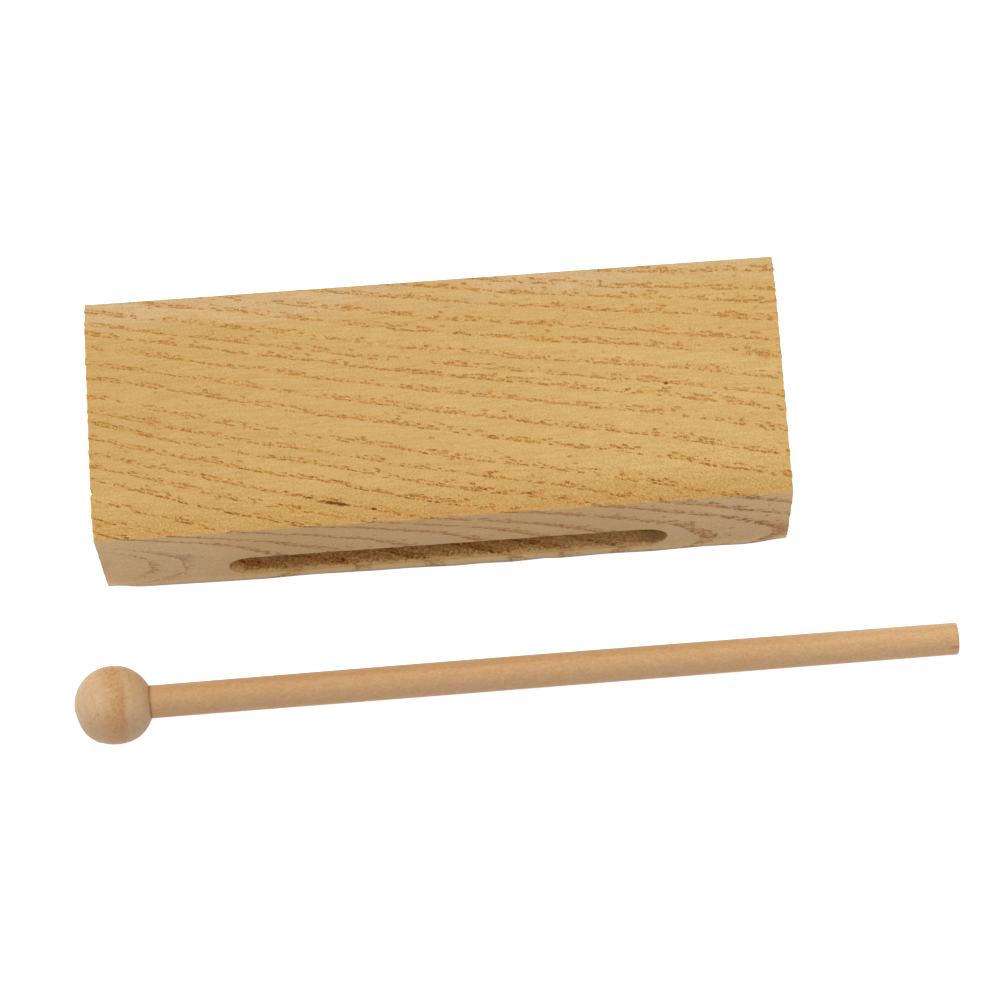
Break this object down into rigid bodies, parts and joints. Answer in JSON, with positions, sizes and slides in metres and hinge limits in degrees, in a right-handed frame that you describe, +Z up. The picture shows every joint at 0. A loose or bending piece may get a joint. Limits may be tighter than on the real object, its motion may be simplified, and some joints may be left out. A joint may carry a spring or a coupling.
{
  "type": "wood block",
  "caption": "Rectangular hardwood block with a routed resonator slot in its long side, and a ball-headed wooden beater lying in front of it.",
  "frame": {"origin": "middle of the block's underside, on the table", "axes": "+X along the block towards the tail of the beater, +Y from the slotted face to the back face, +Z up"},
  "size_m": [0.2312, 0.1099, 0.041],
  "materials": {
    "sawn_hardwood": "raw ring-porous hardwood such as ash, broad faces rough from the saw and yellow, slot face smoother and paler, no varnish",
    "turned_ball": "pale close-grained hardwood, turned and left raw, with a darker band across the middle",
    "sanded_dowel": "pale close-grained hardwood dowel, sanded smooth, fine streaks along its length"
  },
  "bodies": {
    "block": {"wood_block": "sawn_hardwood"},
    "beater": {"beater_ball": "turned_ball", "beater_shaft": "sanded_dowel"}
  },
  "joints": [
    {"name": "beater_lift", "type": "slide", "parent": "block", "child": "beater", "axis": [0, 0, 1], "range_m": [0, 0.12]}
  ]
}
